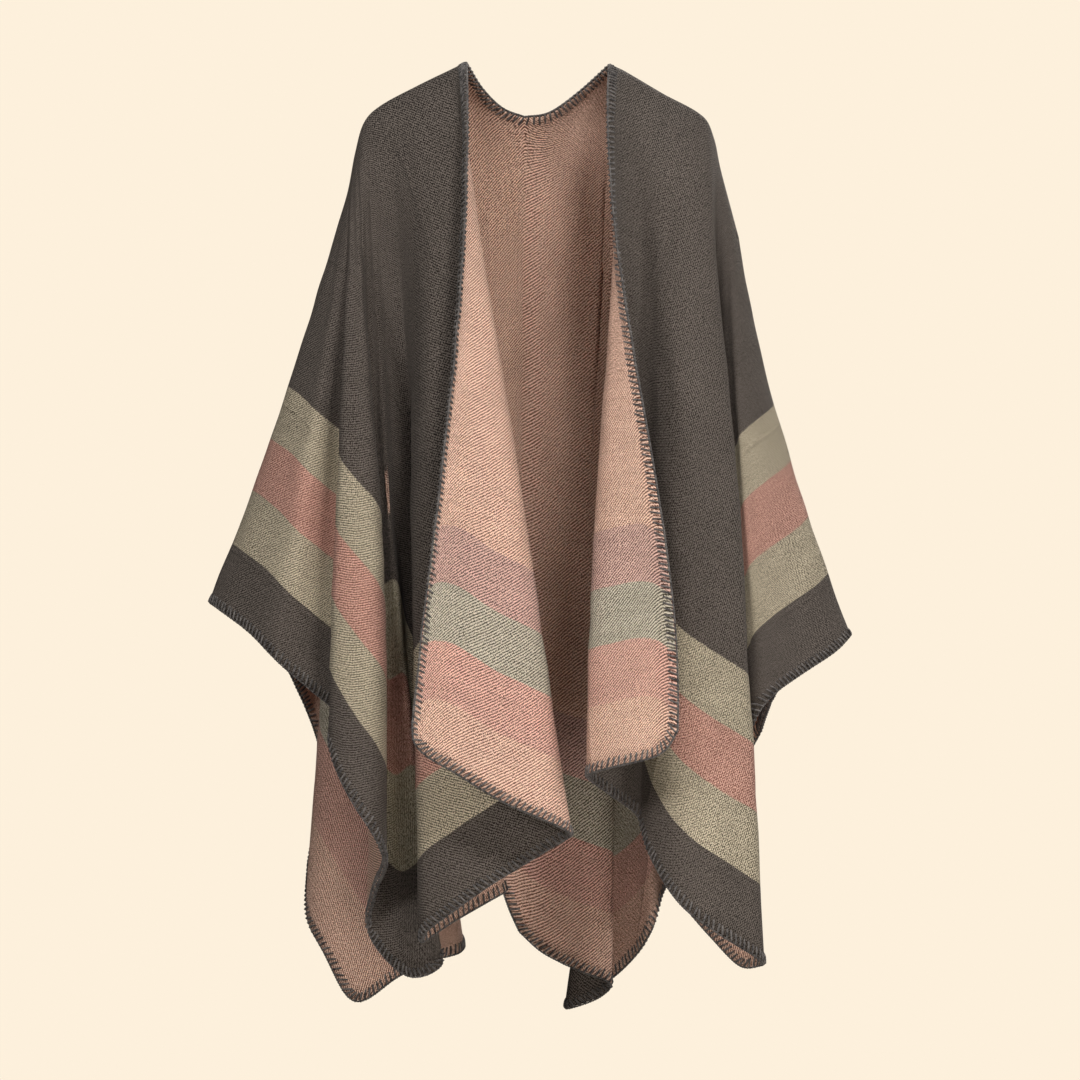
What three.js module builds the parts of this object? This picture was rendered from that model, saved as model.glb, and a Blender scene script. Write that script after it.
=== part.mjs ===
import * as THREE from "three";

// An open-front poncho cape, hanging as it is worn, filled out and hollow. It is one rectangle of thick
// woven cloth, slit from the front hem to the nape. Millimetres, +Z up, the front faces -Y, and the origin
// is between the neck points.

// The flat cut, 1.2 m by 1.5 m. Its middle line runs along the slit, and its shoulder line lies in front of
// the nape.
const CUT_WIDTH = 1200;
const CUT_LENGTH = 1500;
const BACK_LENGTH = 840;
const WALL = 2.2;

// Mesh steps: rays from the slit or neck to the sleeve tip on each quarter, rays round each half of the
// neck edge, and steps along each ray, closer together near the shoulder.
const QUARTER_RAYS = 50;
const NECK_RAYS = 6;
const RAY_STEPS = 11;
const STEP_POWER = 1.6;

// The shoulder is round from front to back: the cloth comes this far forward or back within a short way of
// the ridge.
const SHOULDER_REACH = 56;
const SHOULDER_ROUND = 0.045;
const CURL_POWER = 0.5;

// Near the ridge the folds open out: up to this share of a ray they are spread over so many rays to each
// side.
const OPEN_SHARE = 0.3;
const OPEN_RAYS = 5;

// Each half hangs from its shoulder ridge. Across and along are the flat place, outwards from the slit and
// forwards from the shoulder line.
const RIDGE = {
  left: [
    { ray: 0, across: 0, along: 0, x: -64, y: 0, z: 0, reach: 1 },
    { ray: 3, across: 7, along: 0, x: -70, y: 0, z: -3, reach: 1 },
    { ray: 10, across: 16, along: 0, x: -78, y: 0, z: -7, reach: 1 },
    { ray: 20, across: 50, along: 0, x: -109, y: 2, z: -22, reach: 1 },
    { ray: 30, across: 90, along: 0, x: -144, y: 4, z: -41, reach: 0.9 },
    { ray: 36, across: 112, along: 0, x: -158, y: 6, z: -56, reach: 0.8 },
    { ray: 42, across: 142, along: 0, x: -166, y: 8, z: -84, reach: 0.65 },
    { ray: 47, across: 180, along: 0, x: -173, y: 10, z: -120, reach: 0.4 },
    { ray: 50, across: 210, along: 0, x: -182, y: 11, z: -150, reach: 0 },
  ],
  right: [
    { ray: 0, across: 0, along: 0, x: 69, y: 0, z: -2, reach: 1 },
    { ray: 3, across: 8, along: 0, x: 76, y: 0, z: -5, reach: 1 },
    { ray: 8, across: 17, along: 0, x: 84, y: 0, z: -9, reach: 1 },
    { ray: 20, across: 55, along: 0, x: 118, y: 2, z: -29, reach: 1 },
    { ray: 30, across: 100, along: 0, x: 155, y: 4, z: -50, reach: 0.85 },
    { ray: 36, across: 122, along: 0, x: 165, y: 6, z: -70, reach: 0.75 },
    { ray: 42, across: 150, along: 0, x: 171, y: 8, z: -98, reach: 0.6 },
    { ray: 47, across: 186, along: 0, x: 180, y: 10, z: -132, reach: 0.4 },
    { ray: 50, across: 216, along: 0, x: 188, y: 11, z: -162, reach: 0 },
  ],
};

// The back of the neck, from the nape up to a neck point.
const NECK = {
  left: [
    { ray: 0, across: 0, along: -90, x: -10, y: 56, z: -48, reach: 0.25 },
    { ray: 2, across: 0, along: -60, x: -31, y: 46, z: -40, reach: 0.45 },
    { ray: 4, across: 0, along: -30, x: -50, y: 24, z: -22, reach: 0.75 },
    { ray: 6, across: 0, along: 0, x: -64, y: 0, z: 0, reach: 1 },
  ],
  right: [
    { ray: 0, across: 0, along: -90, x: -10, y: 56, z: -48, reach: 0.25 },
    { ray: 2, across: 0, along: -60, x: 14, y: 50, z: -44, reach: 0.45 },
    { ray: 4, across: 0, along: -30, x: 41, y: 28, z: -26, reach: 0.75 },
    { ray: 6, across: 0, along: 0, x: 69, y: 0, z: -2, reach: 1 },
  ],
};

// Where each ray ends on the edge of the cloth, one row for each turn of the folds: its flat place across
// and along, its hung place, how far its upper and lower thirds bow sideways and in depth, and how far its
// top curls forward.
const FRONT_LEFT = [
  { ray: 0, across: 0, along: 615, x: -111, y: -179, z: -609, bow: [25, 4, 0, 0], curl: 24 },
  { ray: 1, across: 5, along: 636, x: -109, y: -179, z: -625, bow: [25, 4, 0, 0], curl: 22 },
  { ray: 2, across: 20, along: 653, x: -97, y: -179, z: -638, bow: [25, 4, 0, 0], curl: 20 },
  { ray: 3, across: 45, along: 660, x: -76, y: -179, z: -650, bow: [24, 4, 0, 0], curl: 18 },
  { ray: 5, across: 95, along: 660, x: -32, y: -180, z: -677, bow: [20, 2, 0, 0], curl: 14 },
  { ray: 7, across: 135, along: 660, x: 5, y: -177, z: -694, bow: [16, 0, 0, 0], curl: 9 },
  { ray: 9, across: 163, along: 660, x: 28, y: -163, z: -705, bow: [12, 0, 0, 0], curl: 4 },
  { ray: 10, across: 173, along: 660, x: 33, y: -151, z: -710, bow: [11, 0, 0, 0], curl: 0 },
  { ray: 11, across: 183, along: 660, x: 28, y: -140, z: -714, bow: [10, 0, 0, 0], curl: -3 },
  { ray: 13, across: 212, along: 660, x: 6, y: -134, z: -727, bow: [4, 0, 0, 0], curl: -3 },
  { ray: 16, across: 268, along: 660, x: -43, y: -133, z: -757, bow: [-2, -4, -10, 0], curl: 0 },
  { ray: 18, across: 307, along: 660, x: -75, y: -129, z: -780, bow: [-6, -8, -10, 0], curl: 0 },
  { ray: 20, across: 337, along: 660, x: -98, y: -118, z: -797, bow: [0, -6, 10, 4], curl: 0 },
  { ray: 21, across: 348, along: 660, x: -104, y: -108, z: -805, bow: [3, -6, 26, 12], curl: 0 },
  { ray: 22, across: 360, along: 660, x: -103, y: -98, z: -809, bow: [2, -8, 46, 20], curl: 0 },
  { ray: 24, across: 392, along: 660, x: -77, y: -90, z: -792, bow: [-4, -16, 60, 28], curl: 0 },
  { ray: 26, across: 430, along: 660, x: -44, y: -88, z: -773, bow: [-10, -28, 66, 38], curl: 0 },
  { ray: 28, across: 464, along: 660, x: -27, y: -78, z: -763, bow: [-12, -32, 68, 40], curl: 0 },
  { ray: 30, across: 500, along: 660, x: -58, y: -60, z: -775, bow: [-12, -28, 72, 44], curl: 0 },
  { ray: 32, across: 550, along: 660, x: -94, y: -48, z: -802, bow: [-6, -10, 62, 34], curl: 0 },
  { ray: 34, across: 600, along: 660, x: -86, y: -72, z: -831, bow: [-12, -20, 50, 24], curl: 0 },
  { ray: 36, across: 600, along: 612, x: -118, y: -54, z: -842, bow: [-4, -6, 48, 20], curl: 0 },
  { ray: 38, across: 600, along: 552, x: -152, y: -36, z: -806, bow: [0, 6, 36, 14], curl: 0 },
  { ray: 40, across: 600, along: 490, x: -148, y: -68, z: -766, bow: [6, 12, 16, 12], curl: 0 },
  { ray: 41, across: 600, along: 450, x: -137, y: -106, z: -740, bow: [12, 13, -12, -4], curl: 0 },
  { ray: 42, across: 600, along: 405, x: -145, y: -136, z: -713, bow: [16, 11, -26, -10], curl: 0 },
  { ray: 43, across: 600, along: 345, x: -169, y: -136, z: -675, bow: [9, 5, -28, -12], curl: 0 },
  { ray: 44, across: 600, along: 290, x: -188, y: -112, z: -630, bow: [-2, -4, -24, -10], curl: 0 },
  { ray: 45, across: 600, along: 240, x: -181, y: -74, z: -602, bow: [6, 6, 10, 10], curl: 0 },
  { ray: 46, across: 600, along: 185, x: -205, y: -56, z: -580, bow: [4, 4, 8, 8], curl: 0 },
  { ray: 47, across: 600, along: 130, x: -236, y: -64, z: -553, bow: [2, 4, -6, -6], curl: 0 },
  { ray: 48, across: 600, along: 80, x: -262, y: -38, z: -527, bow: [4, 6, -4, -4], curl: 0 },
  { ray: 49, across: 600, along: 32, x: -291, y: 0, z: -506, bow: [5, 8, 0, 0], curl: 0 },
  { ray: 50, across: 600, along: 0, x: -302, y: 24, z: -499, bow: [6, 9, 0, 0], curl: 0 },
];

const BACK_LEFT = [
  { ray: 0, across: 40, along: -840, x: -30, y: 96, z: -768, bow: [0, 0, 18, 6], curl: 0 },
  { ray: 6, across: 70, along: -840, x: -42, y: 112, z: -752, bow: [0, 0, 26, 16], curl: 0 },
  { ray: 12, across: 120, along: -840, x: -64, y: 152, z: -756, bow: [0, 0, 30, 17], curl: 0 },
  { ray: 16, across: 170, along: -840, x: -90, y: 190, z: -766, bow: [0, 0, 40, 24], curl: 0 },
  { ray: 19, across: 215, along: -840, x: -108, y: 168, z: -778, bow: [0, 0, 40, 22], curl: 0 },
  { ray: 21, across: 255, along: -840, x: -98, y: 126, z: -790, bow: [-4, -4, 34, 12], curl: 0 },
  { ray: 24, across: 310, along: -840, x: -80, y: 88, z: -808, bow: [-6, -10, 26, 4], curl: 0 },
  { ray: 26, across: 355, along: -840, x: -68, y: 58, z: -818, bow: [-8, -14, 22, 2], curl: 0 },
  { ray: 28, across: 400, along: -840, x: -70, y: 34, z: -824, bow: [-8, -14, 20, 2], curl: 0 },
  { ray: 30, across: 450, along: -840, x: -84, y: 20, z: -828, bow: [-6, -8, 22, 2], curl: 0 },
  { ray: 32, across: 500, along: -840, x: -96, y: 18, z: -829, bow: [-4, -6, 26, 2], curl: 0 },
  { ray: 34, across: 550, along: -840, x: -128, y: 30, z: -847, bow: [0, 0, 32, 4], curl: 0 },
  { ray: 36, across: 600, along: -840, x: -168, y: 44, z: -870, bow: [2, 0, 40, 8], curl: 0 },
  { ray: 38, across: 600, along: -770, x: -197, y: 56, z: -824, bow: [4, 0, 46, 12], curl: 0 },
  { ray: 39, across: 600, along: -725, x: -212, y: 74, z: -796, bow: [4, 0, 50, 18], curl: 0 },
  { ray: 40, across: 600, along: -680, x: -213, y: 98, z: -768, bow: [4, 0, 54, 26], curl: 0 },
  { ray: 41, across: 600, along: -620, x: -210, y: 128, z: -738, bow: [4, 2, 58, 30], curl: 0 },
  { ray: 42, across: 600, along: -550, x: -203, y: 160, z: -706, bow: [4, 4, 60, 32], curl: 0 },
  { ray: 43, across: 600, along: -475, x: -199, y: 188, z: -672, bow: [4, 4, 56, 30], curl: 0 },
  { ray: 44, across: 600, along: -400, x: -203, y: 198, z: -640, bow: [2, 4, 46, 24], curl: 0 },
  { ray: 45, across: 600, along: -325, x: -214, y: 188, z: -605, bow: [0, 4, 34, 16], curl: 0 },
  { ray: 46, across: 600, along: -250, x: -228, y: 156, z: -572, bow: [0, 4, 24, 8], curl: 0 },
  { ray: 47, across: 600, along: -180, x: -244, y: 122, z: -540, bow: [2, 4, 16, 2], curl: 0 },
  { ray: 48, across: 600, along: -105, x: -270, y: 86, z: -515, bow: [4, 6, 8, 0], curl: 0 },
  { ray: 49, across: 600, along: -38, x: -294, y: 48, z: -501, bow: [5, 8, 2, 0], curl: 0 },
  { ray: 50, across: 600, along: 0, x: -302, y: 24, z: -499, bow: [6, 9, 0, 0], curl: 0 },
];

const FRONT_RIGHT = [
  { ray: 0, across: 0, along: 615, x: 129, y: -175, z: -614, bow: [-35, 27, 0, 0], curl: 24 },
  { ray: 1, across: 5, along: 636, x: 121, y: -175, z: -628, bow: [-33, 25, 0, 0], curl: 22 },
  { ray: 2, across: 20, along: 653, x: 110, y: -175, z: -637, bow: [-30, 22, 0, 0], curl: 20 },
  { ray: 3, across: 45, along: 660, x: 93, y: -175, z: -642, bow: [-24, 16, 0, 0], curl: 17 },
  { ray: 5, across: 78, along: 660, x: 67, y: -173, z: -648, bow: [-12, 0, 0, 0], curl: 12 },
  { ray: 7, across: 98, along: 660, x: 51, y: -162, z: -653, bow: [-2, -10, 0, 0], curl: 5 },
  { ray: 8, across: 107, along: 660, x: 48, y: -148, z: -656, bow: [0, -12, 0, 0], curl: 0 },
  { ray: 9, across: 116, along: 660, x: 52, y: -134, z: -661, bow: [0, -10, 0, 0], curl: -3 },
  { ray: 11, across: 145, along: 660, x: 71, y: -116, z: -675, bow: [-2, -8, 0, 0], curl: -3 },
  { ray: 13, across: 178, along: 660, x: 88, y: -100, z: -687, bow: [-4, -2, 0, 0], curl: 0 },
  { ray: 15, across: 210, along: 660, x: 96, y: -92, z: -697, bow: [-2, 2, 4, 2], curl: 0 },
  { ray: 17, across: 240, along: 660, x: 99, y: -96, z: -708, bow: [0, 8, 0, 0], curl: 0 },
  { ray: 19, across: 270, along: 660, x: 107, y: -114, z: -733, bow: [0, 10, -8, 0], curl: 0 },
  { ray: 22, across: 315, along: 660, x: 132, y: -134, z: -772, bow: [4, 8, -14, -4], curl: 0 },
  { ray: 25, across: 365, along: 660, x: 166, y: -130, z: -799, bow: [8, 6, -16, -6], curl: 0 },
  { ray: 28, across: 412, along: 660, x: 199, y: -110, z: -820, bow: [16, 4, -14, -8], curl: 0 },
  { ray: 29, across: 426, along: 660, x: 208, y: -98, z: -827, bow: [18, 5, -8, -6], curl: 0 },
  { ray: 30, across: 440, along: 660, x: 208, y: -84, z: -831, bow: [18, 5, 2, 0], curl: 0 },
  { ray: 32, across: 478, along: 660, x: 188, y: -68, z: -832, bow: [12, 2, 14, 6], curl: 0 },
  { ray: 34, across: 525, along: 660, x: 162, y: -54, z: -806, bow: [4, 0, 24, 10], curl: 0 },
  { ray: 36, across: 570, along: 660, x: 142, y: -34, z: -784, bow: [-2, 0, 32, 14], curl: 0 },
  { ray: 37, across: 600, along: 660, x: 136, y: -14, z: -776, bow: [-4, 0, 36, 16], curl: 0 },
  { ray: 38, across: 600, along: 615, x: 142, y: 8, z: -760, bow: [-4, 0, 36, 16], curl: 0 },
  { ray: 40, across: 600, along: 520, x: 164, y: 18, z: -716, bow: [-4, -2, 30, 12], curl: 0 },
  { ray: 42, across: 600, along: 425, x: 180, y: -4, z: -672, bow: [-6, -4, 20, 4], curl: 0 },
  { ray: 44, across: 600, along: 320, x: 192, y: -46, z: -632, bow: [-8, -4, 4, -6], curl: 0 },
  { ray: 46, across: 600, along: 210, x: 206, y: -70, z: -598, bow: [-8, -4, -8, -10], curl: 0 },
  { ray: 47, across: 600, along: 150, x: 220, y: -64, z: -582, bow: [-10, -6, -8, -8], curl: 0 },
  { ray: 48, across: 600, along: 90, x: 246, y: -40, z: -564, bow: [-12, -8, -6, -4], curl: 0 },
  { ray: 49, across: 600, along: 36, x: 276, y: -6, z: -545, bow: [-15, -10, 0, 0], curl: 0 },
  { ray: 50, across: 600, along: 0, x: 292, y: 22, z: -530, bow: [-17, -11, 0, 0], curl: 0 },
];

const BACK_RIGHT = [
  { ray: 0, across: 45, along: -840, x: 28, y: 94, z: -838, bow: [0, 0, 24, 16], curl: 0 },
  { ray: 5, across: 72, along: -840, x: 50, y: 90, z: -847, bow: [0, 0, 24, 18], curl: 0 },
  { ray: 8, across: 97, along: -840, x: 68, y: 98, z: -854, bow: [2, 0, 22, 18], curl: 0 },
  { ray: 9, across: 108, along: -840, x: 70, y: 108, z: -861, bow: [2, 0, 22, 16], curl: 0 },
  { ray: 10, across: 122, along: -840, x: 58, y: 116, z: -871, bow: [10, 6, 22, 14], curl: 0 },
  { ray: 12, across: 148, along: -840, x: 34, y: 122, z: -880, bow: [22, 12, 24, 12], curl: 0 },
  { ray: 13, across: 160, along: -840, x: 29, y: 132, z: -880, bow: [26, 16, 25, 12], curl: 0 },
  { ray: 14, across: 174, along: -840, x: 38, y: 142, z: -872, bow: [24, 16, 26, 12], curl: 0 },
  { ray: 16, across: 206, along: -840, x: 68, y: 138, z: -856, bow: [12, 10, 24, 10], curl: 0 },
  { ray: 18, across: 240, along: -840, x: 92, y: 120, z: -833, bow: [6, 6, 20, 6], curl: 0 },
  { ray: 20, across: 272, along: -840, x: 108, y: 104, z: -808, bow: [0, 2, 16, 2], curl: 0 },
  { ray: 22, across: 310, along: -840, x: 118, y: 118, z: -775, bow: [0, 0, 18, 6], curl: 0 },
  { ray: 24, across: 355, along: -840, x: 126, y: 154, z: -762, bow: [0, 0, 32, 18], curl: 0 },
  { ray: 26, across: 400, along: -840, x: 142, y: 192, z: -762, bow: [0, 0, 44, 28], curl: 0 },
  { ray: 28, across: 440, along: -840, x: 160, y: 192, z: -766, bow: [0, 2, 46, 30], curl: 0 },
  { ray: 30, across: 485, along: -840, x: 160, y: 152, z: -768, bow: [0, 2, 40, 22], curl: 0 },
  { ray: 32, across: 525, along: -840, x: 148, y: 108, z: -766, bow: [0, 2, 34, 14], curl: 0 },
  { ray: 34, across: 565, along: -840, x: 148, y: 66, z: -764, bow: [0, 2, 34, 10], curl: 0 },
  { ray: 36, across: 600, along: -840, x: 168, y: 38, z: -766, bow: [0, 2, 36, 10], curl: 0 },
  { ray: 38, across: 600, along: -750, x: 186, y: 64, z: -736, bow: [0, 0, 42, 16], curl: 0 },
  { ray: 40, across: 600, along: -650, x: 184, y: 112, z: -700, bow: [0, 0, 46, 26], curl: 0 },
  { ray: 42, across: 600, along: -545, x: 192, y: 162, z: -660, bow: [-4, -2, 48, 30], curl: 0 },
  { ray: 43, across: 600, along: -490, x: 203, y: 184, z: -640, bow: [-6, -4, 46, 28], curl: 0 },
  { ray: 44, across: 600, along: -425, x: 212, y: 174, z: -622, bow: [-8, -6, 38, 20], curl: 0 },
  { ray: 45, across: 600, along: -345, x: 217, y: 142, z: -604, bow: [-8, -6, 28, 10], curl: 0 },
  { ray: 46, across: 600, along: -260, x: 222, y: 112, z: -590, bow: [-8, -6, 20, 2], curl: 0 },
  { ray: 47, across: 600, along: -180, x: 232, y: 92, z: -576, bow: [-10, -8, 14, 0], curl: 0 },
  { ray: 48, across: 600, along: -105, x: 252, y: 72, z: -556, bow: [-12, -8, 8, 0], curl: 0 },
  { ray: 49, across: 600, along: -40, x: 280, y: 42, z: -540, bow: [-15, -10, 2, 0], curl: 0 },
  { ray: 50, across: 600, along: 0, x: 292, y: 22, z: -530, bow: [-17, -11, 0, 0], curl: 0 },
];

// The hem below the back of the neck, from the middle of the back to the ray that starts at a neck point.
const NAPE_LEFT = [
  { ray: 0, across: 0, along: -840, x: -14, y: 100, z: -808, bow: [0, 0, 24, 12], curl: 0 },
  { ray: 3, across: 20, along: -840, x: -23, y: 98, z: -788, bow: [0, 0, 20, 8], curl: 0 },
  { ray: 6, across: 40, along: -840, x: -30, y: 96, z: -768, bow: [0, 0, 18, 6], curl: 0 },
];
const NAPE_RIGHT = [
  { ray: 0, across: 0, along: -840, x: -14, y: 100, z: -808, bow: [0, 0, 24, 12], curl: 0 },
  { ray: 3, across: 22, along: -840, x: 6, y: 98, z: -826, bow: [0, 0, 26, 16], curl: 0 },
  { ray: 6, across: 45, along: -840, x: 28, y: 94, z: -838, bow: [0, 0, 24, 16], curl: 0 },
];

// A smooth curve through one column of a table, read at a ray that may lie between two rows.
function read(table, column, ray) {
  let i = 0;
  while (i < table.length - 2 && table[i + 1].ray <= ray) i += 1;
  const a = table[i];
  const b = table[i + 1];
  const before = table[Math.max(i - 1, 0)];
  const after = table[Math.min(i + 2, table.length - 1)];
  const span = b.ray - a.ray;
  const slopeA = ((column(b) - column(before)) / (b.ray - before.ray)) * span;
  const slopeB = ((column(after) - column(a)) / (after.ray - a.ray)) * span;
  const t = (ray - a.ray) / span;
  const t2 = t * t;
  const t3 = t2 * t;
  return (
    (2 * t3 - 3 * t2 + 1) * column(a) +
    (t3 - 2 * t2 + t) * slopeA +
    (3 * t2 - 2 * t3) * column(b) +
    (t3 - t2) * slopeB
  );
}

// The same column with its folds let out, as the mean over the rays beside this one. The two end rays have
// none beside them.
function readOpen(table, column, ray) {
  const last = table[table.length - 1].ray;
  const reach = Math.min(OPEN_RAYS, ray, last - ray);
  let sum = 0;
  for (const part of [-1, -0.5, 0, 0.5, 1]) sum += read(table, column, ray + part * reach) / 5;
  return sum;
}

// The point at a share of the way down one ray, hung and flat. Side is -1 towards the front and 1 towards
// the back.
function pointOnRay(starts, ends, ray, share, side) {
  const start = (name) => read(starts, (row) => row[name], ray);
  const folded = 1 - Math.exp(-Math.pow(share / OPEN_SHARE, 2));
  const end = (column) => folded * read(ends, column, ray) + (1 - folded) * readOpen(ends, column, ray);
  const rest = 1 - share;
  const upper = 3 * share * rest * rest;
  const lower = 3 * share * share * rest;
  const bow = (i) => upper * end((row) => row.bow[i]) + lower * end((row) => row.bow[i + 1]);
  const curl = Math.sin(Math.PI * Math.pow(share, CURL_POWER)) * end((row) => row.curl);
  const reach = SHOULDER_REACH * start("reach") * (1 - Math.exp(-share / SHOULDER_ROUND)) * rest;
  const position = new THREE.Vector3(
    rest * start("x") + share * end((row) => row.x) + bow(0),
    rest * start("y") + share * end((row) => row.y) + bow(2) + side * reach - curl,
    rest * start("z") + share * end((row) => row.z),
  );
  const across = rest * start("across") + share * read(ends, (row) => row.across, ray);
  const along = rest * start("along") + share * read(ends, (row) => row.along, ray);
  return { position, across, along };
}

// All the rays in order round the cloth, from the left slit edge past the back to the right slit edge. Each
// gives its points and the key of the ridge place that it starts from, which its neighbour over the shoulder
// shares. Each point's uv is its place on the flat cut, 0 to 1 across and along, so that a weave can follow
// the cloth.
function raysRoundCloth() {
  const rays = [];
  const add = (starts, ends, ray, side, key) => {
    const half = key.startsWith("left") ? -1 : 1;
    const points = [];
    for (let step = 0; step <= RAY_STEPS; step += 1) {
      const share = Math.pow(step / RAY_STEPS, STEP_POWER);
      const { position, across, along } = pointOnRay(starts, ends, ray, share, side);
      const uv = new THREE.Vector2(0.5 + (half * across) / CUT_WIDTH, (BACK_LENGTH + along) / CUT_LENGTH);
      points.push({ position, uv });
    }
    rays.push({ points, key });
  };
  for (let ray = 0; ray <= QUARTER_RAYS; ray += 1) add(RIDGE.left, FRONT_LEFT, ray, -1, "left" + ray);
  for (let ray = QUARTER_RAYS - 1; ray >= 0; ray -= 1) add(RIDGE.left, BACK_LEFT, ray, 1, "left" + ray);
  for (let ray = NECK_RAYS - 1; ray >= 0; ray -= 1) add(NECK.left, NAPE_LEFT, ray, 1, "left neck" + ray);
  for (let ray = 1; ray < NECK_RAYS; ray += 1) add(NECK.right, NAPE_RIGHT, ray, 1, "right neck" + ray);
  for (let ray = 0; ray <= QUARTER_RAYS; ray += 1) add(RIDGE.right, BACK_RIGHT, ray, 1, "right" + ray);
  for (let ray = QUARTER_RAYS - 1; ray >= 0; ray -= 1) add(RIDGE.right, FRONT_RIGHT, ray, -1, "right" + ray);
  return rays;
}

// The middle surface of the cloth as shared vertices and triangles, with the outer face outwards.
function middleSurface() {
  const vertices = [];
  const uvs = [];
  const ridge = new Map();
  const rows = raysRoundCloth().map(({ points, key }) =>
    points.map((point, step) => {
      if (step === 0 && ridge.has(key)) return ridge.get(key);
      vertices.push(point.position);
      uvs.push(point.uv);
      if (step === 0) ridge.set(key, vertices.length - 1);
      return vertices.length - 1;
    }),
  );
  const triangles = [];
  for (let row = 0; row + 1 < rows.length; row += 1) {
    for (let step = 0; step < RAY_STEPS; step += 1) {
      const [a, b] = [rows[row][step], rows[row][step + 1]];
      const [c, d] = [rows[row + 1][step + 1], rows[row + 1][step]];
      for (const face of [[a, c, b], [a, d, c]]) {
        if (new Set(face).size === 3) triangles.push(face);
      }
    }
  }
  return { vertices, uvs, triangles };
}

// The cloth as a closed wall: both faces, moved apart along the normals, and a rim round every edge.
function wallOf({ vertices, uvs, triangles }) {
  const normals = vertices.map(() => new THREE.Vector3());
  for (const [a, b, c] of triangles) {
    const ab = vertices[b].clone().sub(vertices[a]);
    const ac = vertices[c].clone().sub(vertices[a]);
    const normal = ab.cross(ac);
    for (const corner of [a, b, c]) normals[corner].add(normal);
  }
  const count = vertices.length;
  const positions = [];
  const flatPlaces = [];
  for (const side of [1, -1]) {
    vertices.forEach((vertex, i) => {
      const moved = vertex.clone().addScaledVector(normals[i].clone().normalize(), (side * WALL) / 2);
      positions.push(moved.x, moved.y, moved.z);
      flatPlaces.push(uvs[i].x, uvs[i].y);
    });
  }
  const index = [];
  const edges = new Set();
  for (const [a, b, c] of triangles) {
    index.push(a, b, c, count + a, count + c, count + b);
    for (const [from, to] of [[a, b], [b, c], [c, a]]) edges.add(from + "," + to);
  }
  for (const edge of edges) {
    const [from, to] = edge.split(",").map(Number);
    if (edges.has(to + "," + from)) continue;
    index.push(to, from, count + from, to, count + from, count + to);
  }
  const geometry = new THREE.BufferGeometry();
  geometry.setAttribute("position", new THREE.Float32BufferAttribute(positions, 3));
  geometry.setAttribute("uv", new THREE.Float32BufferAttribute(flatPlaces, 2));
  geometry.setIndex(index);
  geometry.computeVertexNormals();
  return geometry;
}

const woven = new THREE.MeshStandardMaterial({ color: 0x4b4441, roughness: 0.95, metalness: 0 });
const cloth = new THREE.Mesh(wallOf(middleSurface()), woven);
cloth.name = "cloth";

const cape = new THREE.Group();
cape.add(cloth);

export default cape;
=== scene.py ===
import math

import bmesh
import bpy
import numpy as np
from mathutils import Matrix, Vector
from mathutils.bvhtree import BVHTree


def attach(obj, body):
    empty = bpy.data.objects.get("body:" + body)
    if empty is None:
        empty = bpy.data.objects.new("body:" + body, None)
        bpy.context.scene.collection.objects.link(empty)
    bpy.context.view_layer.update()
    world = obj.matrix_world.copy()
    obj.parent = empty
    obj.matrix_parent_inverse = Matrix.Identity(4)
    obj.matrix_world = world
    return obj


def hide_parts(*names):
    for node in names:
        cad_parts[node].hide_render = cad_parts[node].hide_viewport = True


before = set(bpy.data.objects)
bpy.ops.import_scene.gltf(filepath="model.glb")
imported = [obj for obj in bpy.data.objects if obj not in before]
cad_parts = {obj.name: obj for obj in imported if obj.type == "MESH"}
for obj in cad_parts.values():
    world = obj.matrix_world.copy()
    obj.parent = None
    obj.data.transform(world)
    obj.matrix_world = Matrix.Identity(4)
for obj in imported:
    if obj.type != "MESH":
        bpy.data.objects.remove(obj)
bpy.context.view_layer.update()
millimetre = 0.001


# Studio: a level camera in front, a warm key light from the left, and a pale floor below the cape

studio = {
    "backdrop": (0.983, 0.872, 0.716),
    "ambient": (1.0, 0.93, 0.86),
    "ambientStrength": 0.03,
    "cameraAway": 9.0,
    "frameCentre": (0.0046, -0.4416),
    "frameWidth": 0.9936,
    "facePlane": -0.06,
    "floorHeight": -1.25,
    "floorRadius": 3.0,
    "sensorWidth": 36,
    "clothMiddle": (0, 0, -0.45),
    "warmWhite": (1.0, 0.97, 0.93),
}

# name, place in metres, size of the disk, watts; each is aimed at the middle of the cloth
lamps = [
    ("sideLight", (-1.95, -2.4, 0.6), 0.8, 34),
    ("highLight", (-0.66, -1.81, 1.85), 0.5, 16),
    ("middleLight", (0.62, -2.15, 1.4), 0.5, 38),
    ("rightLight", (2.45, -0.75, 0.4), 0.8, 27),
    ("backLight", (0.6, 2.6, 0.5), 1.6, 60),
]


def makeCamera():
    camera = bpy.data.objects.new("camera", bpy.data.cameras.new("camera"))
    bpy.context.collection.objects.link(camera)
    x, z = studio["frameCentre"]
    camera.location = (x, -studio["cameraAway"], z)
    camera.rotation_euler = (math.radians(90), 0, 0)
    camera.data.sensor_width = studio["sensorWidth"]
    reach = studio["cameraAway"] + studio["facePlane"]
    camera.data.lens = studio["sensorWidth"] * reach / studio["frameWidth"]
    camera.data.clip_end = 60
    bpy.context.scene.camera = camera


def areaLight(name, place, aim, size, watts, colour):
    data = bpy.data.lights.new(name, "AREA")
    data.shape = "DISK"
    data.size = size
    data.energy = watts
    data.color = colour
    light = bpy.data.objects.new(name, data)
    bpy.context.collection.objects.link(light)
    light.location = place
    light.rotation_euler = (Vector(aim) - Vector(place)).to_track_quat("-Z", "Y").to_euler()


def makeLights():
    for name, place, size, watts in lamps:
        areaLight(name, place, studio["clothMiddle"], size, watts, studio["warmWhite"])
    # a weak light from below, for what a pale floor throws back
    areaLight("floorGlow", (0.25, -1.2, -1.15), (0, 0.1, -0.8), 0.8, 9, (1.0, 0.93, 0.85))


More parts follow.
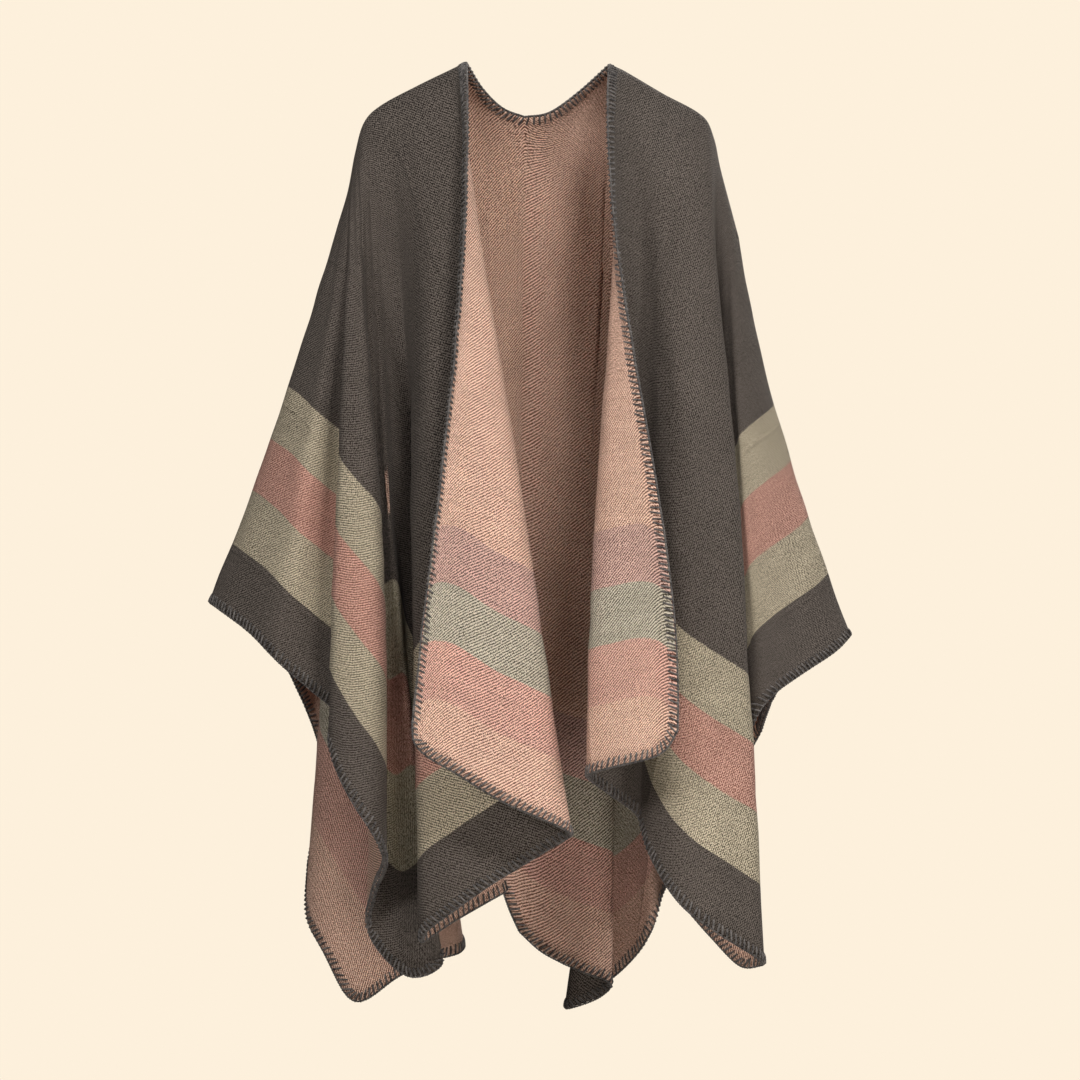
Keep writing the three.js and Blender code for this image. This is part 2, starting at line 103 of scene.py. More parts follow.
def makeSurroundings():
    world = bpy.data.worlds.new("backdrop")
    bpy.context.scene.world = world
    world.use_nodes = True
    tree = world.node_tree
    tree.nodes.clear()
    seen = tree.nodes.new("ShaderNodeBackground")
    seen.inputs["Color"].default_value = (*studio["backdrop"], 1)
    around = tree.nodes.new("ShaderNodeBackground")
    around.inputs["Color"].default_value = (*studio["ambient"], 1)
    around.inputs["Strength"].default_value = studio["ambientStrength"]
    rays = tree.nodes.new("ShaderNodeLightPath")
    mix = tree.nodes.new("ShaderNodeMixShader")
    out = tree.nodes.new("ShaderNodeOutputWorld")
    tree.links.new(rays.outputs["Is Camera Ray"], mix.inputs["Fac"])
    tree.links.new(around.outputs[0], mix.inputs[1])
    tree.links.new(seen.outputs[0], mix.inputs[2])
    tree.links.new(mix.outputs[0], out.inputs["Surface"])
    where = (0, 0, studio["floorHeight"])
    bpy.ops.mesh.primitive_circle_add(vertices=96, radius=studio["floorRadius"], fill_type="NGON", location=where)
    floor = bpy.context.object
    floor.name = "floor"
    paint = bpy.data.materials.new("paleFloor")
    paint.use_nodes = True
    shader = paint.node_tree.nodes["Principled BSDF"]
    shader.inputs["Base Color"].default_value = (*studio["backdrop"], 1)
    shader.inputs["Roughness"].default_value = 0.9
    floor.data.materials.append(paint)
    floor.visible_diffuse = False        # so it throws no light back into the folds


# The cloth: rays run from the shoulder ridge or the back of the neck to the edge of the cut

cloth = {
    "cutWidth": 1.20,
    "cutLength": 1.50,
    "backLength": 0.84,
    "wall": 2.2,
    "quarterRays": 50,
    "neckRays": 6,
    "raysBetween": 3,
    "steps": 58,
    "stepPower": 1.3,
    "shoulderReach": 56,
    "shoulderRound": 0.045,
    "curlPower": 0.5,
    "openShare": 0.3,
    "openRays": 5,
    "settleShare": 0.05,
    "settleRays": (4, 44),
    "settleBlend": 0.012,
}

# ray, across, along, x, y, z, reach: the flat and the hung start of a ray, in millimetres
startColumns = ("ray", "across", "along", "x", "y", "z", "reach")
ridgeLeft = [
    (0, 0, 0, -64, 0, 0, 1),
    (3, 7, 0, -70, 0, -3, 1),
    (10, 16, 0, -78, 0, -7, 1),
    (20, 50, 0, -109, 2, -22, 1),
    (30, 90, 0, -144, 4, -41, 0.9),
    (36, 112, 0, -158, 6, -56, 0.8),
    (42, 142, 0, -166, 8, -84, 0.65),
    (47, 180, 0, -173, 10, -120, 0.4),
    (50, 210, 0, -182, 11, -150, 0),
]
ridgeRight = [
    (0, 0, 0, 69, 0, -2, 1),
    (3, 8, 0, 76, 0, -5, 1),
    (8, 17, 0, 84, 0, -9, 1),
    (20, 55, 0, 118, 2, -29, 1),
    (30, 100, 0, 155, 4, -50, 0.85),
    (36, 122, 0, 165, 6, -70, 0.75),
    (42, 150, 0, 171, 8, -98, 0.6),
    (47, 186, 0, 180, 10, -132, 0.4),
    (50, 216, 0, 188, 11, -162, 0),
]
neckLeft = [
    (0, 0, -90, -10, 56, -48, 0.25),
    (2, 0, -60, -31, 46, -40, 0.45),
    (4, 0, -30, -50, 24, -22, 0.75),
    (6, 0, 0, -64, 0, 0, 1),
]
neckRight = [
    (0, 0, -90, -10, 56, -48, 0.25),
    (2, 0, -60, 14, 50, -44, 0.45),
    (4, 0, -30, 41, 28, -26, 0.75),
    (6, 0, 0, 69, 0, -2, 1),
]

# One row for each turn of a fold: flat place, hung place, bows of the upper and lower third, and forward curl
endColumns = ("ray", "across", "along", "x", "y", "z", "bowXUpper", "bowXLower", "bowYUpper", "bowYLower", "curl")
frontLeft = [
    (0, 0, 615, -111, -179, -609, 25, 4, 0, 0, 24),
    (1, 5, 636, -109, -179, -625, 25, 4, 0, 0, 22),
    (2, 20, 653, -97, -179, -638, 25, 4, 0, 0, 20),
    (3, 45, 660, -76, -179, -650, 24, 4, 0, 0, 18),
    (5, 95, 660, -32, -180, -677, 20, 2, 0, 0, 14),
    (7, 135, 660, 5, -177, -694, 16, 0, 0, 0, 9),
    (9, 163, 660, 28, -163, -705, 12, 0, 0, 0, 4),
    (10, 173, 660, 33, -151, -710, 11, 0, 0, 0, 0),
    (11, 183, 660, 28, -140, -714, 10, 0, 0, 0, -3),
    (13, 212, 660, 6, -134, -727, 4, 0, 0, 0, -3),
    (16, 268, 660, -43, -133, -757, -2, -4, -10, 0, 0),
    (18, 307, 660, -75, -129, -780, -6, -8, -10, 0, 0),
    (20, 337, 660, -98, -118, -797, 0, -6, 10, 4, 0),
    (21, 348, 660, -104, -108, -805, 3, -6, 26, 12, 0),
    (22, 360, 660, -103, -98, -809, 2, -8, 46, 20, 0),
    (24, 392, 660, -77, -90, -792, -4, -16, 60, 28, 0),
    (26, 430, 660, -44, -88, -773, -10, -28, 66, 38, 0),
    (28, 464, 660, -27, -78, -763, -12, -32, 68, 40, 0),
    (30, 500, 660, -58, -60, -775, -12, -28, 72, 44, 0),
    (32, 550, 660, -94, -48, -802, -6, -10, 62, 34, 0),
    (34, 600, 660, -86, -72, -831, -12, -20, 50, 24, 0),
    (36, 600, 612, -118, -54, -842, -4, -6, 48, 20, 0),
    (38, 600, 552, -152, -36, -806, 0, 6, 36, 14, 0),
    (40, 600, 490, -148, -68, -766, 6, 12, 16, 12, 0),
    (41, 600, 450, -137, -106, -740, 12, 13, -12, -4, 0),
    (42, 600, 405, -145, -136, -713, 16, 11, -26, -10, 0),
    (43, 600, 345, -169, -136, -675, 9, 5, -28, -12, 0),
    (44, 600, 290, -188, -112, -630, -2, -4, -24, -10, 0),
    (45, 600, 240, -181, -74, -602, 6, 6, 10, 10, 0),
    (46, 600, 185, -205, -56, -580, 4, 4, 8, 8, 0),
    (47, 600, 130, -236, -64, -553, 2, 4, -6, -6, 0),
    (48, 600, 80, -262, -38, -527, 4, 6, -4, -4, 0),
    (49, 600, 32, -291, 0, -506, 5, 8, 0, 0, 0),
    (50, 600, 0, -302, 24, -499, 6, 9, 0, 0, 0),
]
backLeft = [
    (0, 40, -840, -30, 96, -768, 0, 0, 18, 6, 0),
    (6, 70, -840, -42, 112, -752, 0, 0, 26, 16, 0),
    (12, 120, -840, -64, 152, -756, 0, 0, 30, 17, 0),
    (16, 170, -840, -90, 190, -766, 0, 0, 40, 24, 0),
    (19, 215, -840, -108, 168, -778, 0, 0, 40, 22, 0),
    (21, 255, -840, -98, 126, -790, -4, -4, 34, 12, 0),
    (24, 310, -840, -80, 88, -808, -6, -10, 26, 4, 0),
    (26, 355, -840, -68, 58, -818, -8, -14, 22, 2, 0),
    (28, 400, -840, -70, 34, -824, -8, -14, 20, 2, 0),
    (30, 450, -840, -84, 20, -828, -6, -8, 22, 2, 0),
    (32, 500, -840, -96, 18, -829, -4, -6, 26, 2, 0),
    (34, 550, -840, -128, 30, -847, 0, 0, 32, 4, 0),
    (36, 600, -840, -168, 44, -870, 2, 0, 40, 8, 0),
    (38, 600, -770, -197, 56, -824, 4, 0, 46, 12, 0),
    (39, 600, -725, -212, 74, -796, 4, 0, 50, 18, 0),
    (40, 600, -680, -213, 98, -768, 4, 0, 54, 26, 0),
    (41, 600, -620, -210, 128, -738, 4, 2, 58, 30, 0),
    (42, 600, -550, -203, 160, -706, 4, 4, 60, 32, 0),
    (43, 600, -475, -199, 188, -672, 4, 4, 56, 30, 0),
    (44, 600, -400, -203, 198, -640, 2, 4, 46, 24, 0),
    (45, 600, -325, -214, 188, -605, 0, 4, 34, 16, 0),
    (46, 600, -250, -228, 156, -572, 0, 4, 24, 8, 0),
    (47, 600, -180, -244, 122, -540, 2, 4, 16, 2, 0),
    (48, 600, -105, -270, 86, -515, 4, 6, 8, 0, 0),
    (49, 600, -38, -294, 48, -501, 5, 8, 2, 0, 0),
    (50, 600, 0, -302, 24, -499, 6, 9, 0, 0, 0),
]
frontRight = [
    (0, 0, 615, 129, -175, -614, -35, 27, 0, 0, 24),
    (1, 5, 636, 121, -175, -628, -33, 25, 0, 0, 22),
    (2, 20, 653, 110, -175, -637, -30, 22, 0, 0, 20),
    (3, 45, 660, 93, -175, -642, -24, 16, 0, 0, 17),
    (5, 78, 660, 67, -173, -648, -12, 0, 0, 0, 12),
    (7, 98, 660, 51, -162, -653, -2, -10, 0, 0, 5),
    (8, 107, 660, 48, -148, -656, 0, -12, 0, 0, 0),
    (9, 116, 660, 52, -134, -661, 0, -10, 0, 0, -3),
    (11, 145, 660, 71, -116, -675, -2, -8, 0, 0, -3),
    (13, 178, 660, 88, -100, -687, -4, -2, 0, 0, 0),
    (15, 210, 660, 96, -92, -697, -2, 2, 4, 2, 0),
    (17, 240, 660, 99, -96, -708, 0, 8, 0, 0, 0),
    (19, 270, 660, 107, -114, -733, 0, 10, -8, 0, 0),
    (22, 315, 660, 132, -134, -772, 4, 8, -14, -4, 0),
    (25, 365, 660, 166, -130, -799, 8, 6, -16, -6, 0),
    (28, 412, 660, 199, -110, -820, 16, 4, -14, -8, 0),
    (29, 426, 660, 208, -98, -827, 18, 5, -8, -6, 0),
    (30, 440, 660, 208, -84, -831, 18, 5, 2, 0, 0),
    (32, 478, 660, 188, -68, -832, 12, 2, 14, 6, 0),
    (34, 525, 660, 162, -54, -806, 4, 0, 24, 10, 0),
    (36, 570, 660, 142, -34, -784, -2, 0, 32, 14, 0),
    (37, 600, 660, 136, -14, -776, -4, 0, 36, 16, 0),
    (38, 600, 615, 142, 8, -760, -4, 0, 36, 16, 0),
    (40, 600, 520, 164, 18, -716, -4, -2, 30, 12, 0),
    (42, 600, 425, 180, -4, -672, -6, -4, 20, 4, 0),
    (44, 600, 320, 192, -46, -632, -8, -4, 4, -6, 0),
    (46, 600, 210, 206, -70, -598, -8, -4, -8, -10, 0),
    (47, 600, 150, 220, -64, -582, -10, -6, -8, -8, 0),
    (48, 600, 90, 246, -40, -564, -12, -8, -6, -4, 0),
    (49, 600, 36, 276, -6, -545, -15, -10, 0, 0, 0),
    (50, 600, 0, 292, 22, -530, -17, -11, 0, 0, 0),
]
backRight = [
    (0, 45, -840, 28, 94, -838, 0, 0, 24, 16, 0),
    (5, 72, -840, 50, 90, -847, 0, 0, 24, 18, 0),
    (8, 97, -840, 68, 98, -854, 2, 0, 22, 18, 0),
    (9, 108, -840, 70, 108, -861, 2, 0, 22, 16, 0),
    (10, 122, -840, 58, 116, -871, 10, 6, 22, 14, 0),
    (12, 148, -840, 34, 122, -880, 22, 12, 24, 12, 0),
    (13, 160, -840, 29, 132, -880, 26, 16, 25, 12, 0),
    (14, 174, -840, 38, 142, -872, 24, 16, 26, 12, 0),
    (16, 206, -840, 68, 138, -856, 12, 10, 24, 10, 0),
    (18, 240, -840, 92, 120, -833, 6, 6, 20, 6, 0),
    (20, 272, -840, 108, 104, -808, 0, 2, 16, 2, 0),
    (22, 310, -840, 118, 118, -775, 0, 0, 18, 6, 0),
    (24, 355, -840, 126, 154, -762, 0, 0, 32, 18, 0),
    (26, 400, -840, 142, 192, -762, 0, 0, 44, 28, 0),
    (28, 440, -840, 160, 192, -766, 0, 2, 46, 30, 0),
    (30, 485, -840, 160, 152, -768, 0, 2, 40, 22, 0),
    (32, 525, -840, 148, 108, -766, 0, 2, 34, 14, 0),
    (34, 565, -840, 148, 66, -764, 0, 2, 34, 10, 0),
    (36, 600, -840, 168, 38, -766, 0, 2, 36, 10, 0),
    (38, 600, -750, 186, 64, -736, 0, 0, 42, 16, 0),
    (40, 600, -650, 184, 112, -700, 0, 0, 46, 26, 0),
    (42, 600, -545, 192, 162, -660, -4, -2, 48, 30, 0),
    (43, 600, -490, 203, 184, -640, -6, -4, 46, 28, 0),
    (44, 600, -425, 212, 174, -622, -8, -6, 38, 20, 0),
    (45, 600, -345, 217, 142, -604, -8, -6, 28, 10, 0),
    (46, 600, -260, 222, 112, -590, -8, -6, 20, 2, 0),
    (47, 600, -180, 232, 92, -576, -10, -8, 14, 0, 0),
    (48, 600, -105, 252, 72, -556, -12, -8, 8, 0, 0),
    (49, 600, -40, 280, 42, -540, -15, -10, 2, 0, 0),
    (50, 600, 0, 292, 22, -530, -17, -11, 0, 0, 0),
]
napeLeft = [
    (0, 0, -840, -14, 100, -808, 0, 0, 24, 12, 0),
    (3, 20, -840, -23, 98, -788, 0, 0, 20, 8, 0),
    (6, 40, -840, -30, 96, -768, 0, 0, 18, 6, 0),
]
napeRight = [
    (0, 0, -840, -14, 100, -808, 0, 0, 24, 12, 0),
    (3, 22, -840, 6, 98, -826, 0, 0, 26, 16, 0),
    (6, 45, -840, 28, 94, -838, 0, 0, 24, 16, 0),
]

# Soft troughs and ridges laid into the hung cloth, on the flat cut in millimetres: the middle, the direction in
# degrees from across, the half length, the half width, and the depth, outwards positive
creases = [
    (-95, 560, 90, 110, 7, -1.2),
    (-245, 600, 90, 90, 7, -1.4),
    (0, -450, 90, 360, 7, 1.0),
    (-570, 135, 0, 60, 8, -1.6),
    (300, 300, 80, 160, 22, -3.0),
    (-330, 330, 98, 170, 20, -3.0),
    (180, 380, 88, 200, 26, 3.0),
    (-210, 360, 93, 180, 24, 3.0),
    (430, 140, 25, 120, 20, -3.0),
    (-440, 150, 155, 120, 20, -3.0),
    (420, -170, 150, 130, 22, 3.0),
    (-420, -190, 30, 130, 22, 3.0),
    (160, -400, 92, 240, 24, -2.5),
    (-170, -380, 88, 240, 24, -2.5),
    (90, -300, 96, 200, 20, 2.2),
    (-100, -330, 85, 200, 20, 2.2),
    (34, -330, 90, 330, 26, -10.0),
    (-10, -400, 90, 350, 14, 6.0),
    (78, -330, 92, 300, 22, 8.0),
]


def readColumn(table, columns, name, ray):
    # a smooth curve through one column of a table, read between its rows
    known = np.array([row[0] for row in table], float)
    value = np.array([row[columns.index(name)] for row in table], float)
    i = np.clip(np.searchsorted(known, ray, side="right") - 1, 0, len(known) - 2)
    before, after = np.maximum(i - 1, 0), np.minimum(i + 2, len(known) - 1)
    span = known[i + 1] - known[i]
    slopeA = (value[i + 1] - value[before]) / (known[i + 1] - known[before]) * span
    slopeB = (value[after] - value[i]) / (known[after] - known[i]) * span
    t = (ray - known[i]) / span
    return (
        (2 * t**3 - 3 * t**2 + 1) * value[i]
        + (t**3 - 2 * t**2 + t) * slopeA
        + (3 * t**2 - 2 * t**3) * value[i + 1]
        + (t**3 - t**2) * slopeB
    )


def readOpen(table, columns, name, ray):
    # the same column with its folds let out over the rays beside it
    last = table[-1][0]
    reach = np.minimum(np.minimum(cloth["openRays"], ray), last - ray)
    parts = (-1, -0.5, 0, 0.5, 1)
    return sum(readColumn(table, columns, name, ray + part * reach) for part in parts) / len(parts)


def hangRays(starts, ends, rays, side, half):
    # every point of these rays: hung place in metres and flat place in metres, across signed by its half
    rays = np.asarray(rays, float)[:, None]
    share = (np.arange(cloth["steps"] + 1) / cloth["steps"]) ** cloth["stepPower"]
    share = share[None, :]
    rest = 1 - share
    folded = 1 - np.exp(-((share / cloth["openShare"]) ** 2))

    def start(name):
        return readColumn(starts, startColumns, name, rays)

    def end(name):
        held = readColumn(ends, endColumns, name, rays)
        return folded * held + (1 - folded) * readOpen(ends, endColumns, name, rays)

    upper, lower = 3 * share * rest**2, 3 * share**2 * rest
    curl = np.sin(np.pi * share ** cloth["curlPower"]) * end("curl")
    reach = cloth["shoulderReach"] * start("reach") * (1 - np.exp(-share / cloth["shoulderRound"])) * rest
    x = rest * start("x") + share * end("x") + upper * end("bowXUpper") + lower * end("bowXLower")
    y = rest * start("y") + share * end("y") + upper * end("bowYUpper") + lower * end("bowYLower")
    y = y + side * reach - curl
    z = rest * start("z") + share * end("z")
    across = rest * start("across") + share * readColumn(ends, endColumns, "across", rays)
    along = rest * start("along") + share * readColumn(ends, endColumns, "along", rays)
    hung = np.stack([x, y, z], axis=2) * millimetre
    flat = np.stack([half * across, along], axis=2) * millimetre
    return hung, flat


def settleBack(hung, flat, rays, half, middle):
    # the slit spreads round the neck, and the back hangs straight below it: near the middle of the back the
    # flat place follows the hung one, level with the middle line and as far across as the cloth reaches
    down = np.gradient(hung, axis=1)
    down /= np.maximum(np.linalg.norm(down, axis=2, keepdims=True), 1e-9)
    gap = np.linalg.norm(np.cross(np.diff(hung, axis=0), 0.5 * (down[1:] + down[:-1])), axis=2)
    reach = np.concatenate([np.zeros((1, hung.shape[1])), np.cumsum(gap, axis=0)])
    reach = np.abs(reach - reach[middle])
    share = ((np.arange(cloth["steps"] + 1) / cloth["steps"]) ** cloth["stepPower"])[None, :]
    begun = 1 - np.exp(-share / cloth["settleShare"])
    across, along = np.abs(flat[..., 0]), flat[..., 1]
    first, last = cloth["settleRays"]
    near = 1 - np.clip((rays[:, None] - first) / (last - first), 0, 1)
    near = near * near * (3 - 2 * near)
    blend = cloth["settleBlend"] * np.minimum((across + reach) / 0.1, 1)
    wide = 0.5 * (across + reach + np.sqrt((across - reach) ** 2 + blend**2))
    level = np.interp(-hung[..., 2], -hung[middle, :, 2], along[middle])
    above = np.maximum(hung[..., 2] - hung[middle, 0, 2], 0)
    across = across + begun * near * (wide - across)
    along = along + begun * near * (1 - share) * (level + above - along)
    return np.stack([half[:, None] * across, along], axis=2)


def layRays():
    # all rays in order, from the left slit edge round the back to the right slit edge
    fine = cloth["raysBetween"]
    quarter = np.arange(cloth["quarterRays"] * fine + 1) / fine
    neck = np.arange(cloth["neckRays"] * fine + 1) / fine
    # starts, ends, rays, front or back, half, and the name under which rays share their first point
    runs = [
        (ridgeLeft, frontLeft, quarter, -1, -1, "left"),
        (ridgeLeft, backLeft, quarter[-2::-1], 1, -1, "left"),
        (neckLeft, napeLeft, neck[-2::-1], 1, -1, "neckLeft"),
        (neckRight, napeRight, neck[1:-1], 1, 1, "neckRight"),
        (ridgeRight, backRight, quarter, 1, 1, "right"),
        (ridgeRight, frontRight, quarter[-2::-1], -1, 1, "right"),
    ]
    hung, flat, places, back = [], [], [], []
    for starts, ends, rays, side, half, place in runs:
        points, cut = hangRays(starts, ends, rays, side, half)
        hung.append(points)
        flat.append(cut)
        places += [(place, round(float(ray), 3)) for ray in rays]
        fromNeck = starts in (neckLeft, neckRight)
        if side == 1:
            back += [(len(places) - len(rays) + k, 0 if fromNeck else ray, half) for k, ray in enumerate(rays)]
    hung, flat = np.concatenate(hung), np.concatenate(flat)
    rows, rays, halves = (np.array(column) for column in zip(*back))
    middle = len(quarter) + len(quarter) - 1 + len(neck) - 2 - rows[0]
    flat[rows] = settleBack(hung[rows], flat[rows], rays, halves, middle)
    return hung, flat, places


def creaseDepth(flat):
    # how far each point is moved along its normal by the creases, in metres
    depth = np.zeros(flat.shape[:-1])
    for across, along, angle, halfLength, halfWidth, high in creases:
        turn = math.radians(angle)
        dx = flat[..., 0] / millimetre - across
        dy = flat[..., 1] / millimetre - along
        onward = dx * math.cos(turn) + dy * math.sin(turn)
        sideways = -dx * math.sin(turn) + dy * math.cos(turn)
        depth += high * np.exp(-((onward / halfLength) ** 4) - (sideways / halfWidth) ** 2)
    return depth * millimetre


def softWaves(flat):
    # slight unevenness of thick cloth, under a millimetre
    u, v = flat[..., 0], flat[..., 1]
    wave = 0.5 * np.sin(41 * u + 9 * np.sin(13 * v)) * np.sin(23 * v + 5 * np.sin(17 * u + 1.3))
    wave += 0.32 * np.sin(83 * u - 31 * v + 3 * np.sin(29 * v + 0.7)) * np.sin(12 * v - 19 * u)
    return wave * millimetre


def makeCloth():
    hung, flat, places = layRays()
    # surface normals from the grid, outer face outwards
    downRay = np.gradient(hung, axis=1)
    roundCloth = np.gradient(hung, axis=0)
    normal = np.cross(roundCloth, downRay)
    normal /= np.maximum(np.linalg.norm(normal, axis=2, keepdims=True), 1e-9)
    share = (np.arange(cloth["steps"] + 1) / cloth["steps"])[None, :]
    ease = np.clip((share - 0.06) / 0.2, 0, 1)
    moved = (creaseDepth(flat) + softWaves(flat)) * ease
    hung = hung + normal * moved[..., None]
    mesh = bmesh.new()
    uv = mesh.loops.layers.uv.new("flatCut")
    ridge, grid = {}, []
    for row, place in enumerate(places):
        line = []
        for step in range(cloth["steps"] + 1):
            if step == 0 and place in ridge:
                line.append(ridge[place])
                continue
            vertex = mesh.verts.new(hung[row, step])
            if step == 0:
                ridge[place] = vertex
            line.append(vertex)
        grid.append(line)
    for row in range(len(grid) - 1):
        for step in range(cloth["steps"]):
            corners = [(row, step), (row + 1, step), (row + 1, step + 1), (row, step + 1)]
            distinct = []
            for corner in corners:
                if grid[corner[0]][corner[1]] not in [grid[r][s] for r, s in distinct]:
                    distinct.append(corner)
            if len(distinct) < 3:
                continue
            face = mesh.faces.new([grid[r][s] for r, s in distinct])
            face.smooth = True
            for loop, (r, s) in zip(face.loops, distinct):
                loop[uv].uv = flat[r, s]
    data = bpy.data.meshes.new("clothSheet")
    mesh.to_mesh(data)
    mesh.free()
    piece = bpy.data.objects.new("clothSheet", data)
    bpy.context.collection.objects.link(piece)
    return piece, hung


def thicken(piece, outer, inner, edge):
    for finish in (outer, inner, edge):
        piece.data.materials.append(finish)
    bpy.ops.object.select_all(action="DESELECT")
    bpy.context.view_layer.objects.active = piece
    piece.select_set(True)
    wall = piece.modifiers.new("wall", "SOLIDIFY")
    wall.thickness = cloth["wall"] * millimetre
    wall.offset = 0
    wall.use_even_offset = False
    wall.material_offset = 1
    wall.material_offset_rim = 2
    bpy.ops.object.modifier_apply(modifier="wall")


# Finishes. A number or a link in these expressions becomes a Math node.

class Shade:
    def __init__(self, book, socket):
        self.book, self.socket = book, socket

    def math(self, operation, other=0.0, swap=False):
        pair = (other, self) if swap else (self, other)
        return self.book.node("ShaderNodeMath", {"operation": operation}, pair)

    def __add__(self, other):
        return self.math("ADD", other)

    def __sub__(self, other):
        return self.math("SUBTRACT", other)

    def __mul__(self, other):
        return self.math("MULTIPLY", other)

    def __rsub__(self, other):
        return self.math("SUBTRACT", other, swap=True)

    __radd__, __rmul__ = __add__, __mul__

    def sin(self):
        return self.math("SINE")

    def least(self, other):
        return self.math("MINIMUM", other)

    def most(self, other):
        return self.math("MAXIMUM", other)

    def size(self):
        return self.math("ABSOLUTE")

    def step(self, start, stop):
        settings = {"interpolation_type": "SMOOTHSTEP"}
        return self.book.node("ShaderNodeMapRange", settings, (self, start, stop, 0.0, 1.0))


class Book:
    # one material and its nodes
    def __init__(self, name, roughness):
        self.finish = bpy.data.materials.new(name)
        self.finish.use_nodes = True
        self.tree = self.finish.node_tree
        self.shader = self.tree.nodes["Principled BSDF"]
        self.shader.inputs["Roughness"].default_value = roughness

    def put(self, socket, value):
        if isinstance(value, Shade):
            self.tree.links.new(value.socket, socket)
        elif isinstance(value, tuple):
            socket.default_value = (*value, 1) if len(socket.default_value) == 4 and len(value) == 3 else value
        else:
            socket.default_value = value

    def node(self, kind, settings=None, values=(), output=0):
        made = self.tree.nodes.new(kind)
        for name, setting in (settings or {}).items():
            setattr(made, name, setting)
        pairs = values.items() if isinstance(values, dict) else enumerate(values)
        for name, value in pairs:
            self.put(made.inputs[name], value)
        return Shade(self, made.outputs[output])

    def mix(self, share, first, second, blend="MIX"):
        settings = {"data_type": "RGBA", "blend_type": blend}
        return self.node("ShaderNodeMix", settings, {0: share, 6: first, 7: second}, 2)

    def noise(self, place, scale, detail=2.0, roughness=0.5):
        values = {"Vector": place, "Scale": scale, "Detail": detail, "Roughness": roughness}
        return self.node("ShaderNodeTexNoise", {"noise_dimensions": "3D"}, values)

    def give(self, name, value):
        self.put(self.shader.inputs[name], value)

    def bump(self, height, strength):
        values = {"Strength": strength, "Distance": 1.0, "Height": height}
        self.give("Normal", self.node("ShaderNodeBump", None, values))


weave = {
    "bands": (0.060, 0.115, 0.169, 0.223),          # from the edge of the cut inwards
    "outer": ("charcoal", "sage", "rose", "sage", "charcoal"),
    "inner": ("salmon", "brick", "moss", "mauve", "salmon"),
    "twillPitch": 0.00214,
    "borderWander": 0.0045,
    "fleckScale": 1150.0,                           # features to the metre
    "heatherScale": 430.0,
    "slubScale": 24.0,
    "slubTone": 0.30,
    "streakTone": 0.40,
    "outerShares": (0.42, 0.26, 3.2),               # how much ribs, crossings and flecks darken the face
    "innerShares": (0.52, 0.14, 2.8),
    "foldLines": (0.095, 0.245, 0.395, 0.545),      # pressed in where the cape was folded for packing
}

# light yarn and dark yarn of each colour
yarns = {
    "charcoal": ((0.160, 0.136, 0.120), (0.010, 0.0075, 0.006)),
    "sage": ((0.640, 0.560, 0.420), (0.055, 0.046, 0.028)),
    "rose": ((0.720, 0.430, 0.350), (0.115, 0.034, 0.021)),
    "salmon": ((0.920, 0.640, 0.510), (0.130, 0.050, 0.030)),
    "brick": ((0.850, 0.530, 0.440), (0.105, 0.038, 0.026)),
    "moss": ((0.640, 0.585, 0.475), (0.050, 0.042, 0.026)),
    "mauve": ((0.750, 0.500, 0.430), (0.078, 0.034, 0.028)),
}


def wovenFinish(name, colours, shares):
    book = Book(name, 0.92)
    ribShare, crossShare, fleckShare = shares
    uv = book.node("ShaderNodeUVMap", {"uv_map": "flatCut"})
    across, along = [book.node("ShaderNodeSeparateXYZ", None, (uv,), k) for k in (0, 1)]
    # warp and weft wander a little, so no line is quite straight
    wander = (book.noise(uv, 60.0) - 0.5) * 0.0012
    u, v = across + wander, along - wander
    turns = 2 * math.pi / (weave["twillPitch"] * math.sqrt(2))
    rib = ((u - v) * turns).sin()
    cross = ((u + v) * (turns * 0.98)).sin()
    fleck = book.noise(uv, weave["fleckScale"], 0.0)
    heather = book.noise(uv, weave["heatherScale"], 2.0, 0.7)
    slub = book.noise(uv, weave["slubScale"], 3.0)
    # dark yarn shows in the grooves between the ribs and here and there across them
    dark = rib * ribShare + cross * crossShare + (fleck - 0.5) * fleckShare + (heather - 0.5) * (fleckShare * 0.6)
    dark = dark.step(-0.30, 0.30)
    edgeWay = (0.5 * cloth["cutWidth"] - across.size()).least(cloth["cutLength"] - cloth["backLength"] - along)
    edgeWay = edgeWay.least(along + cloth["backLength"])
    # picks of slightly different yarn run along the borders and streak them
    course = book.node("ShaderNodeCombineXYZ", None, (edgeWay * 380.0, (across + along) * 16.0, 0.0))
    streak = book.noise(course, 1.0, 2.0)
    ragged = edgeWay + (heather - 0.5) * 0.0016 + (streak - 0.5) * weave["borderWander"]
    light, shadow = yarns[colours[0]]
    for border, colour in zip(weave["bands"], colours[1:]):
        passed = ragged.step(border - 0.0006, border + 0.0006)
        light = book.mix(passed, light, yarns[colour][0])
        shadow = book.mix(passed, shadow, yarns[colour][1])
    shown = book.mix(dark, light, shadow)
    tone = (slub - 0.5) * weave["slubTone"] + (streak - 0.5) * weave["streakTone"] + 1.0
    tint = book.node("ShaderNodeCombineColor", None, (tone, tone, tone))
    book.give("Base Color", book.mix(1.0, shown, tint, "MULTIPLY"))
    pressed = None
    for line in weave["foldLines"]:
        mark = 1.0 - (across.size() - line + (slub - 0.5) * 0.004).size().step(0.0, 0.0035)
        pressed = mark if pressed is None else pressed.most(mark)
    height = (rib * 0.35 + cross * 0.15 + (fleck - 0.5) * 0.3) * 0.0003 + pressed * 0.0007
    book.bump(height, 0.85)
    book.shader.inputs["Sheen Weight"].default_value = 0.05
    book.shader.inputs["Sheen Roughness"].default_value = 0.55
    book.shader.inputs["Sheen Tint"].default_value = (1.0, 0.93, 0.88, 1)
    book.shader.inputs["Specular IOR Level"].default_value = 0.2
    return book.finish


